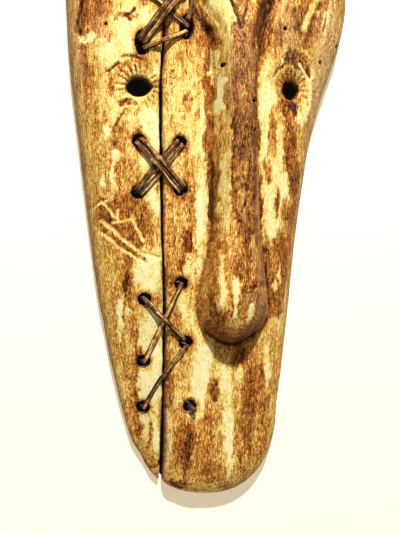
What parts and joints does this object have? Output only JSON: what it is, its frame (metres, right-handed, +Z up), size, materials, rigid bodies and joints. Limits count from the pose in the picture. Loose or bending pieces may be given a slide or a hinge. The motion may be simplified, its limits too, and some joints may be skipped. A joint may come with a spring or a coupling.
{
  "type": "carved wooden mask",
  "caption": "Tall carved wooden face mask with a long club-ended nose, split lengthwise into boards laced with split cane, hollow back and a swinging hanger ring.",
  "frame": {"origin": "the point of the hanger ring that rests on the wall hook, inside the top of the ring", "axes": "+X to the viewer's right, +Y into the wall behind the mask, +Z up towards the crown"},
  "size_m": [0.2357, 0.0709, 0.4998],
  "materials": {
    "carved_wood": "matt, with rubbed white clay",
    "split_cane": "satin",
    "plated_steel": "satin"
  },
  "bodies": {
    "mask": {"left_board": "carved_wood", "right_board": "carved_wood", "brow_band_inner": "split_cane", "brow_band_outer": "split_cane", "brow_back_strand": "split_cane", "brow_cross_strand": "split_cane", "brow_side_strand": "split_cane", "cheek_over_upper": "split_cane", "cheek_over_lower": "split_cane", "cheek_under_upper": "split_cane", "cheek_under_lower": "split_cane", "jaw_top_strand": "split_cane", "jaw_middle_strand": "split_cane", "jaw_bottom_strand": "split_cane", "broken_cane_stub": "split_cane", "hanger_strap": "plated_steel", "hanger_screws": "plated_steel"},
    "ring": {"hanger_ring": "plated_steel"}
  },
  "joints": [
    {"name": "ring_swing", "type": "hinge", "parent": "mask", "child": "ring", "pos_m": [0, 0, -0.012], "axis": [-1, 0, 0], "range_deg": [0, 150]}
  ]
}
